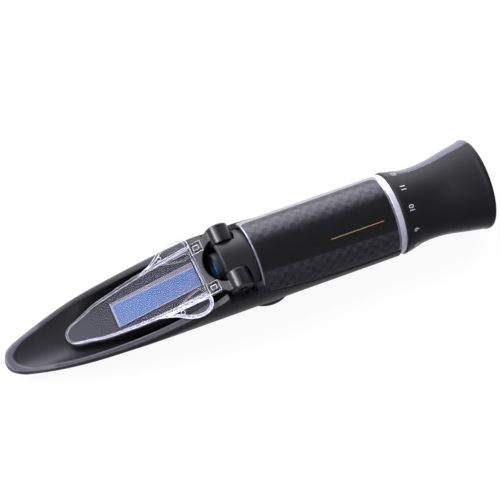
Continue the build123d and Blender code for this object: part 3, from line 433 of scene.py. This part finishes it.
# The edge finish is painted near white and glows by its emission, a painted highlight; where its faces turn
# edge-on to the view it is painted darker grey and stops glowing, a painted dark outline.
glowing_edge = Finish("acrylic_edge_glow", IOR=1.49, Specular_IOR_Level=0.8, Coat_Weight=1.0, Coat_Roughness=0.05,
             Emission_Strength=0.38)
ripple = glowing_edge.specks(2.2, 2, stretch=(0.5, 1, 1))
slanting = glowing_edge.add("ShaderNodeLayerWeight", {}, {"Blend": 0.5}, "Facing").ramp(0.5, 0.9)
streak = glowing_edge.specks(0.5, 2, stretch=(0.06, 1, 1)).ramp(0.4, 0.6)
edge_highlight_white = glowing_edge.mix(slanting, glowing_edge.mix(streak, ink(246, 246, 255), ink(196, 194, 214)), ink(96, 96, 102))
edge_glow = glowing_edge.mix(slanting, glowing_edge.mix(streak, (1, 1, 1, 1), (0.45, 0.44, 0.52, 1)), (0, 0, 0, 1))
from_inside = glowing_edge.add("ShaderNodeNewGeometry", output="Backfacing")
glowing_edge.paint(Base_Color=edge_highlight_white, Emission_Color=edge_glow, Roughness=0.10 + ripple * 0.12,
          Alpha=(0.72 + ripple.ramp(0.3, 0.7) * 0.25) * (1 - from_inside * 0.75))
glowing_edge.relief(ripple, 0.05)

# A milky white used as a painted sheen: on the near side of the rim, on the near ear bead and on the clip
# blocks' walls.
white_sheen = Finish("acrylic_white_sheen", Base_Color=ink(226, 224, 240), Roughness=0.12, IOR=1.49, Coat_Weight=1.0,
               Coat_Roughness=0.05)
curls = white_sheen.specks(0.9, 3)
white_sheen.paint(Alpha=0.06 + curls.ramp(0.42, 0.62) * 0.16)
white_sheen.relief(curls, 0.05)

PLATE_TIP, PLATE_REAR, PLATE_TOP, PLATE_LOW, RIM_TOP = -68.3, -11.7, 3.4, 2.2, 3.9
plate_side = [(-58.7, 5.9), (-45.9, 8.5), (-26.8, 10.35), (PLATE_REAR, 10.9)]
inner_side = [(-58.4, 5.3), (-45.7, 7.7), (-26.7, 9.25), (PLATE_REAR - 0.9, 9.75)]
ear_side = [(-33.0, 9.75), (-27.0, 12.2), (-22.4, 15.3), (-17.7, 16.7), (-13.6, 15.6), (-11.9, 12.6),
            (-12.2, 10.8)]
ear_inside = [(-30.4, 10.5), (-26.0, 12.0), (-21.9, 14.5), (-17.7, 15.8), (-14.1, 14.9), (-12.8, 12.4),
              (-13.1, 11.2)]
gusset = [(-24.5, 9.2), (-18.5, 7.1), (-14.0, 6.6), (-13.3, 7.6), (-13.3, 9.2)]
hollow = [(-23.0, 8.9), (-18.2, 7.5), (-14.6, 7.1), (-13.9, 7.8), (-13.9, 8.9)]
diamond = [(-24.9, 12.0), (-24.1, 12.8), (-23.3, 12.0), (-24.1, 11.2)]
block = [(-11.7, 6.9), (-7.25, 6.9), (-7.25, 10.9), (-11.7, 10.9)]
hole = [(-10.65, 7.95), (-8.3, 7.95), (-8.3, 9.85), (-10.65, 9.85)]
SHEET_EDGE, EAR_HEIGHT, BEAD_HEIGHT, BLOCK_HEIGHT = 0.1, 2.5, 2.75, 2.9
CLEAR, GLOWING_EDGE, WHITE_SHEEN = 0, 1, 2
UPRIGHT, FLAT = 0.1, 0.93
NOWHERE, EVERYWHERE = -99, 99


def curve_mesh(loops, extrude=0.0, edge=0.0, fill=True, corners=()):
    """Mesh of closed smooth curves in the plane, filled and thick or as a rounded bar along them.
    A point named in corners keeps a sharp turn."""
    curve = bpy.data.curves.new("outline", "CURVE")
    curve.dimensions = "2D" if fill else "3D"
    if fill:
        curve.fill_mode = "BOTH"
    curve.resolution_u, curve.bevel_resolution = 10, 3
    curve.extrude, curve.bevel_depth = extrude * MM, edge * MM
    for loop in loops:
        spline = curve.splines.new("BEZIER")
        spline.bezier_points.add(len(loop) - 1)
        spline.use_cyclic_u = True
        for point, (x, y) in zip(spline.bezier_points, loop):
            point.co = (x * MM, y * MM, 0)
            kind = "VECTOR" if (x, y) in corners else "AUTO"
            point.handle_left_type = point.handle_right_type = kind
    holder = bpy.data.objects.new("outline", curve)
    bpy.context.scene.collection.objects.link(holder)
    bpy.context.view_layer.update()
    mesh = bpy.data.meshes.new_from_object(holder)
    bpy.data.objects.remove(holder)
    return mesh


def lay(mesh, height, side=1):
    """Puts a flat mesh at a height over the cover's own plane, on one side of the instrument."""
    mesh.transform(cover_plane @ Matrix.Translation((0, 0, height * MM)) @ Matrix.Diagonal((1, side, 1, 1)))
    if side < 0:
        mesh.flip_normals()
    return mesh


def both_edges(side):
    """The outline of one side, and back along its mirror image."""
    return side + [(x, -y) for x, y in reversed(side)]


def polished(mesh, sheen_below=NOWHERE, sheen_before=0, walls=GLOWING_EDGE):
    """Flat faces of a clear piece stay clear, or take the painted milky sheen short of both limits. Sloped
    faces along the rounded edges take the glowing edge finish, a painted highlight, and upright walls get the
    finish that walls names."""
    for face in mesh.polygons:
        painted_sheen = face.center.y < sheen_below * MM and face.center.x < sheen_before * MM
        if abs(face.normal.z) < UPRIGHT:
            face.material_index = walls
        elif abs(face.normal.z) < FLAT:
            face.material_index = GLOWING_EDGE
        else:
            face.material_index = WHITE_SHEEN if painted_sheen else CLEAR
    return mesh


acrylic = [clear, glowing_edge, white_sheen]
plate_loop = [(PLATE_TIP, 0)] + both_edges(plate_side)
plate_ends = [plate_side[-1], (PLATE_REAR, -plate_side[-1][1])]
sheet = curve_mesh([plate_loop], extrude=(PLATE_TOP - PLATE_LOW) / 2 - SHEET_EDGE, edge=SHEET_EDGE,
                   corners=plate_ends)
sheet = lay(polished(sheet, walls=CLEAR), (PLATE_TOP + PLATE_LOW) / 2)
plate_piece = finished("cover_sheet", sheet, acrylic, "cover")
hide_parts("cover_plate")

inner_loop = [(PLATE_TIP + 0.6, 0)] + both_edges(inner_side)
inner_ends = [inner_side[-1], (inner_side[-1][0], -inner_side[-1][1])]
rim = curve_mesh([plate_loop, inner_loop], extrude=0.13, edge=0.12, corners=plate_ends + inner_ends)
# The near side of the rim takes the painted white sheen.
rim = lay(polished(rim, sheen_below=-3, sheen_before=PLATE_REAR - 1), RIM_TOP - 0.25)
finished("cover_rim", rim, acrylic, "cover")

for side, name in ((1, "far"), (-1, "near")):
    ends = [ear_side[0], ear_side[-1]]
    web = curve_mesh([ear_side], extrude=0.25, edge=0.1, corners=ends)
    finished("ear_web_" + name, lay(polished(web), EAR_HEIGHT, side), acrylic, "cover")
    bead = curve_mesh([ear_side, ear_inside], extrude=0.25, edge=0.2,
                      corners=ends + [ear_inside[0], ear_inside[-1]])
    # The near ear's bead takes the painted white sheen all over.
    bead = lay(polished(bead, sheen_below=EVERYWHERE if side < 0 else NOWHERE), BEAD_HEIGHT, side)
    finished("ear_bead_" + name, bead, acrylic, "cover")
    rib = curve_mesh([gusset, hollow], extrude=0.08, edge=0.05,
                     corners=gusset[:1] + gusset[3:] + hollow[:1] + hollow[3:])
    rib = lay(polished(rib), PLATE_TOP + 0.12, side)
    finished("cover_rib_" + name, rib, acrylic, "cover")
    # The ejector mark is a thin bar in the glowing edge finish, a painted highlight.
    mark = curve_mesh([diamond], edge=0.07, fill=False)
    finished("ejector_mark_" + name, lay(mark, BLOCK_HEIGHT, side), [glowing_edge], "cover")
    clip = curve_mesh([block, hole], extrude=0.8, edge=0.2, corners=block + hole)
    # The clip blocks' walls take the painted white sheen.
    clip = lay(polished(clip, walls=WHITE_SHEEN), BLOCK_HEIGHT, side)
    finished("clip_block_" + name, clip, acrylic, "cover")

# Clear plastic lets the light through, so its pieces cast no shadow.
for piece in bpy.data.objects:
    if piece.name.startswith(("cover_sheet", "cover_rim", "cover_rib", "ear_", "ejector_", "clip_block_")):
        piece.visible_shadow = False


# --- Yoke and hinge --------------------------------------------------------------------------
# The black stirrup that carries the plate: two arms with bosses, and tongues for the clips. It
# turns on two short steel pins in the cheeks of the collar.
yoke_black = moulded("yoke_black", (10, 10, 12), (15, 15, 18), 0.20, (50, 49, 57), rounding=0.8)
wear(yoke_black, "cover_yoke")
pin_steel = turned_metal("pin_steel", (186, 186, 192), 0.25)
wear(pin_steel, "hinge_pins", "case_screws", "guide_pin", "dial_clip")


# --- Objective -------------------------------------------------------------------------------
# The carrier with the coated front lens, seen in the notch between the bosses: black anodised
# aluminium round a small glass lens that mirrors deep blue.
def anodised(name, shade, rough):
    finish = Finish(name, Metallic=0.6)
    lines = finish.specks(0.3, 2, stretch=(1, 0.03, 0.03))
    worn = [part + 12 for part in shade]
    finish.paint(Base_Color=finish.mix(lines, ink(*shade), ink(*worn)),
                 Roughness=rough + (lines - 0.5) * 0.15)
    finish.relief(lines, 0.005, rounding=0.15)
    return finish


dark_metal = anodised("dark_metal", (34, 34, 38), 0.45)
wear(dark_metal, "objective_cell", "objective_retainer", "liner_tube", "baffle_rings", "reticle_holder",
     "reticle_retainer", "eyepiece_guide", "focus_sleeve", "lens_cell", "lens_spacer", "lens_retainer")


def coated(name, colour, glow, alpha):
    """A lens seen against the dark barrel, with its coating's colour."""
    finish = Finish(name, Roughness=0.05, IOR=1.52, Coat_Weight=1.0, Coat_Roughness=0.02, Alpha=alpha)
    bloom_and_sheen = finish.specks(4, 2)
    finish.paint(Base_Color=finish.mix(bloom_and_sheen.ramp(0.3, 0.7), ink(*colour), ink(*glow)))
    return finish


wear(coated("blue_lens", (34, 128, 200), (20, 94, 164), 1.0), "objective_lens")
wear(coated("clear_lens", (60, 70, 92), (40, 46, 66), 0.45), "field_lens", "eye_lens", "reticle_glass")


# --- Dial under the barrel -------------------------------------------------------------------
# The foot ring and the coin-slotted dial that shifts the scale to zero: smooth black plastic,
# with a turned brass stem behind it and a rubber ring that seals the stem.
foot_black = moulded("foot_black", (30, 30, 34), (38, 38, 42), 0.34, (64, 64, 72))
wear(foot_black, "dial_bezel", "scale_dial")
wear(turned_metal("stem_brass", (206, 172, 104), 0.28), "dial_stem")
wear(gasket_rubber, "dial_oring", "focus_oring")


# --- Eyecup ----------------------------------------------------------------------------------
# Soft black rubber moulded in one piece in two mould halves, whose parting line runs along it.
# It is stretched over the focus sleeve and turns with it.
cup_rubber, pores = rubber("cup_rubber", (8, 8, 10), (12, 12, 15), 0.50)
cup_rubber.paint(Specular_IOR_Level=0.25, Sheen_Weight=0.6, Sheen_Roughness=0.27)
seam_side, seam_height = cup_rubber.place(1) / MM, cup_rubber.place(2) / MM - AXIS_Z
seam_turn = radians(51.5)
off_seam = abs(seam_side * sin(seam_turn) - seam_height * cos(seam_turn))
seam = off_seam.ramp(0.05, 0.22, 1.0, 0.0)
cup_rubber.relief(pores * 0.02 - seam, 0.15)

# Below the seam the far side of the cup is painted paler, a painted sheen where the rubber catches the light.
cup_turn = seam_height.sum("ARCTAN2", seam_height, seam_side)
under_seam = (cup_turn < seam_turn) * cup_turn.ramp(radians(8), radians(38))
bloom_and_sheen = under_seam * cup_rubber.place(0).ramp(0.064, 0.071)
cup_tone = cup_rubber.mix(bloom_and_sheen, cup_rubber.fed("Base Color"), ink(70, 71, 83))
cup_rubber.paint(Base_Color=cup_rubber.mix(seam, cup_tone, ink(6, 6, 7)))

cup_loop = [(60.7, 13.45), (60.7, 16.15), (61.0, 16.5), (62.35, 16.38), (65.55, 15.7), (68.85, 14.95),
            (72.15, 14.63), (75.35, 14.63), (78.65, 14.84), (81.85, 15.26), (85.15, 15.9), (88.45, 16.56),
            (91.65, 17.14), (94.95, 17.76), (96.8, 18.2), (97.7, 17.95), (97.92, 17.4), (97.5, 16.6),
            (89.5, 13.7), (81.1, 12.0), (81.1, 9.8), (79.3, 9.8), (79.3, 13.45)]
profile = curve_mesh([cup_loop], fill=False, corners=cup_loop[:2] + cup_loop[-4:])
cup_line = [(vert.co.x / MM, vert.co.y / MM) for vert in profile.vertices]
cup = bmesh.new()
cup.from_mesh(profile)
cup.transform(Matrix.Rotation(pi / 2, 4, "X"))
cup.transform(Matrix.Translation((0, 0, AXIS_Z * MM)))
bmesh.ops.spin(cup, geom=cup.verts[:] + cup.edges[:], cent=(0, 0, AXIS_Z * MM), axis=(1, 0, 0),
               dvec=(0, 0, 0), angle=2 * pi, steps=96, use_merge=True)
bmesh.ops.remove_doubles(cup, verts=cup.verts, dist=1e-7)
bmesh.ops.recalc_face_normals(cup, faces=cup.faces)
cup_piece = finished("eyecup_rubber", cup, [cup_rubber], "focus")
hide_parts("eyecup")


# --- Numbers round the eyecup ----------------------------------------------------------------
# Plain numbers printed in pale grey on the neck of the eyecup, their tops towards the prism.
# They count down round the neck, and turn with the eyecup.
pale_ink = Finish("pale_ink", Roughness=0.5)
fleck = pale_ink.specks(0.2, 2)
pale_ink.paint(Base_Color=pale_ink.mix(fleck.ramp(0.3, 0.7), ink(172, 172, 180), ink(138, 138, 146)))
NUMBER_X, NUMBER_SIZE, INK_THICK, INK_SPREAD = 64.95, 3.1, 0.02, 0.02
HIGHEST, LOWEST, HIGHEST_TURN, NUMBER_STEP = 12, 2, 52, 32.0
NECK_FRONT, NECK_REAR, NECK_INSIDE = 61.0, 75.0, 14.0


def cup_radius(x):
    """Radius of the eyecup's outside at a place along the barrel."""
    outside = [(px, pr) for px, pr in cup_line if NECK_FRONT <= px <= NECK_REAR and pr > NECK_INSIDE]
    near = sorted(outside, key=lambda point: abs(point[0] - x))[:2]
    (x0, r0), (x1, r1) = near
    return r0 + (r1 - r0) * (x - x0) / (x1 - x0) if x1 != x0 else r0


for number in range(HIGHEST, LOWEST - 1, -1):
    digits = bpy.data.curves.new("digits", "FONT")
    digits.body = str(number)
    digits.size, digits.extrude, digits.offset = NUMBER_SIZE * MM, INK_THICK * MM, INK_SPREAD * MM
    digits.align_x, digits.align_y = "CENTER", "CENTER"
    holder = bpy.data.objects.new("digits", digits)
    bpy.context.scene.collection.objects.link(holder)
    bpy.context.view_layer.update()
    print_mesh = bpy.data.meshes.new_from_object(holder)
    bpy.data.objects.remove(holder)
    middle_turn = radians(HIGHEST_TURN + NUMBER_STEP * (HIGHEST - number))
    for vert in print_mesh.vertices:
        across, up, out = vert.co / MM
        x = NUMBER_X - up
        radius = cup_radius(x) + INK_THICK + out
        turned = middle_turn - across / radius
        vert.co = Vector((x, radius * cos(turned), AXIS_Z + radius * sin(turned))) * MM
    print_mesh.flip_normals()
    finished("number_%d" % number, print_mesh, [pale_ink], "focus", smooth=False)


# --- Studio ----------------------------------------------------------------------------------
# A pale floor that runs out of sight, a large softbox on each side and a small one beyond the
# nose; the ceiling is dimmer than the walls, as over a light table.
TABLE_GLOW, FAR_GLOW, NEAR_GLOW, TABLE_SHARE = 1.0, 1.1, 0.2, 0.92
ROOM_LIGHT, BRIGHTEST = 0.28, 20

floor_pale = Finish("floor_pale", Roughness=0.9, Specular_IOR_Level=0.0)
speckle = floor_pale.specks(40, 2)
floor_pale.paint(Base_Color=floor_pale.mix(speckle, (0.66, 0.66, 0.68, 1), (0.70, 0.70, 0.72, 1)))
seen, mirrored, passed = [floor_pale.add("ShaderNodeLightPath", output=kind)
                          for kind in ("Is Camera Ray", "Is Glossy Ray", "Is Transmission Ray")]
far_side = floor_pale.place(1).ramp(-0.04, 0.02)
glow, far_glow, near_glow = [
    floor_pale.add("ShaderNodeEmission", {}, {"Color": (1, 1, 1, 1), "Strength": strength})
    for strength in (TABLE_GLOW, FAR_GLOW, NEAR_GLOW)]
lit_floor = Field(floor_pale, floor_pale.shader.outputs[0])
shown = floor_pale.add("ShaderNodeMixShader", {}, {0: (seen + passed) * TABLE_SHARE, 1: lit_floor, 2: glow})
image = floor_pale.add("ShaderNodeMixShader", {}, {0: far_side, 1: near_glow, 2: far_glow})
shown = floor_pale.add("ShaderNodeMixShader", {}, {0: mirrored, 1: shown, 2: image})
floor_pale.fill(floor_pale.tree.nodes["Material Output"], {"Surface": shown})
ground = bmesh.new()
bmesh.ops.create_grid(ground, x_segments=1, y_segments=1, size=6)
bmesh.ops.translate(ground, vec=(0, 0, -0.02 * MM), verts=ground.verts)
floor_mesh = bpy.data.meshes.new("floor")
ground.to_mesh(floor_mesh)
ground.free()
floor_mesh.materials.append(floor_pale.material)
floor = bpy.data.objects.new("floor", floor_mesh)
bpy.context.scene.collection.objects.link(floor)

studio = Finish("studio", "worlds", "Background")
bpy.context.scene.world = studio.material
way = studio.add("ShaderNodeTexCoord", output="Generated")
to_eyepiece, to_far, to_top = [studio.split(way, axis) for axis in range(3)]
far_wall = to_far.ramp(0.30, 0.95) * to_top.ramp(0.92, 0.40) * 3.6
near_wall = to_far.ramp(-0.55, -0.97) * 0.15
beyond_nose = to_eyepiece.ramp(0.0, -0.5) * to_top.ramp(0.4, 0.8) * 3.2
strip = to_eyepiece.ramp(-0.54, -0.62) * to_eyepiece.ramp(-0.80, -0.72)
strip = strip * to_far.ramp(0.1, 0.2) * to_far.ramp(0.8, 0.6) * to_top.ramp(0.3, 0.45) * 16
brightness = far_wall + near_wall + beyond_nose + strip + ROOM_LIGHT
shade = studio.mix(brightness / BRIGHTEST, (0, 0, 0, 1), (19.2, 18.9, 21.4, 1))
camera_ray = studio.add("ShaderNodeLightPath", output="Is Camera Ray")
studio.paint(Color=studio.mix(camera_ray, shade, (1, 1, 1, 1)))

for name, place, width, depth, power in (
        ("far_softbox", (0.25, 0.95, 0.75), 1.4, 0.6, 14),
        ("near_softbox", (0.20, -0.80, 1.00), 1.2, 0.5, 5),
        ("nose_softbox", (-0.62, 0.42, 0.95), 0.6, 0.6, 9)):
    lamp = bpy.data.lights.new(name, "AREA")
    lamp.shape, lamp.size, lamp.size_y, lamp.energy = "RECTANGLE", width, depth, power
    holder = bpy.data.objects.new(name, lamp)
    holder.visible_glossy = False
    bpy.context.scene.collection.objects.link(holder)
    aim = Vector((0.0, 0.0, 0.02)) - Vector(place)
    holder.matrix_world = Matrix.Translation(place) @ aim.to_track_quat("-Z", "Y").to_matrix().to_4x4()


# --- Camera ----------------------------------------------------------------------------------
# Placed by matching the bright ring, the hinge, the straight barrel and the plate's plane.
# It looks down steeply from the near side with a long lens, rolled a little to one side.
TURN, RISE, ROLL = radians(-32.75), radians(62.9), radians(10.37)
LOOKED_AT, DISTANCE = Vector((1.45, 0, AXIS_Z)) * MM, 1.0
back = Vector((sin(TURN) * cos(RISE), -cos(TURN) * cos(RISE), sin(RISE)))
level = back.cross(Vector((0, 0, 1))).normalized() * -1
upright = back.cross(level)
right = cos(ROLL) * level + sin(ROLL) * upright
up = -sin(ROLL) * level + cos(ROLL) * upright
lens = bpy.data.cameras.new("camera")
lens.sensor_width, lens.lens, lens.shift_y = 36, 188.64, 0.0263
lens.clip_start, lens.clip_end = 0.05, 20
camera = bpy.data.objects.new("camera", lens)
bpy.context.scene.collection.objects.link(camera)
facing = Matrix((right, up, back)).transposed().to_4x4()
camera.matrix_world = Matrix.Translation(LOOKED_AT + back * DISTANCE) @ facing
bpy.context.scene.camera = camera
bpy.context.scene.view_settings.view_transform = "Standard"
